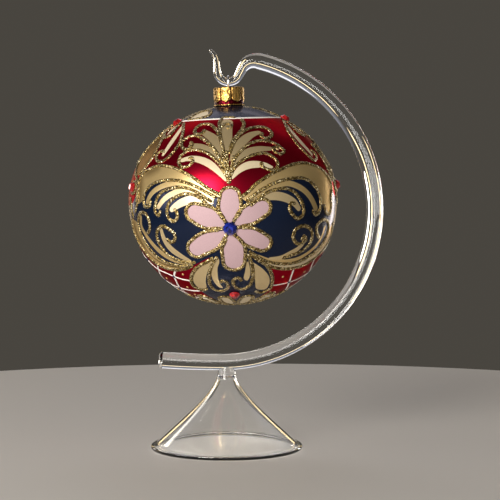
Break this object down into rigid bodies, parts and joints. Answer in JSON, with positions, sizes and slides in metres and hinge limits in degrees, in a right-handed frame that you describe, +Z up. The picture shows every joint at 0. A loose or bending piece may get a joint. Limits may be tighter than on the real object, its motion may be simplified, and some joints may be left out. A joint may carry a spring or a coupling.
{
  "type": "hanging ornament on glass stand",
  "caption": "Painted hollow glass Christmas ball with crown cap, hung from the hook of a clear glass rod stand on a flared hollow foot.",
  "frame": {"origin": "on the table under the middle of the whole outline, between the ball's left side and the arm's right side", "axes": "+Z up; -Y the front of the ball; +X the side the arm swings round; the foot's axis is at x = -14.1 mm"},
  "size_m": [0.1221, 0.1026, 0.192],
  "materials": {
    "clear_glass": "clear, fire-polished",
    "painted_glass": "opaque satin lacquer, painted and glittered",
    "gold_sheet": "bright pressed sheet",
    "silver_wire": "bright",
    "blue_stone": "cut, foil-backed",
    "red_stone": "cut, foil-backed"
  },
  "bodies": {
    "root": {"glass_stand": "clear_glass", "glass_ball": "painted_glass", "crown_cap": "gold_sheet", "hanger_loop": "silver_wire", "blue_gem_front": "blue_stone", "blue_gem_back": "blue_stone", "red_gem_low_front": "red_stone", "red_gem_low_back": "red_stone", "red_gem_right": "red_stone", "red_gem_left": "red_stone", "red_gem_top_right": "red_stone", "red_gem_top_left": "red_stone"}
  },
  "joints": []
}
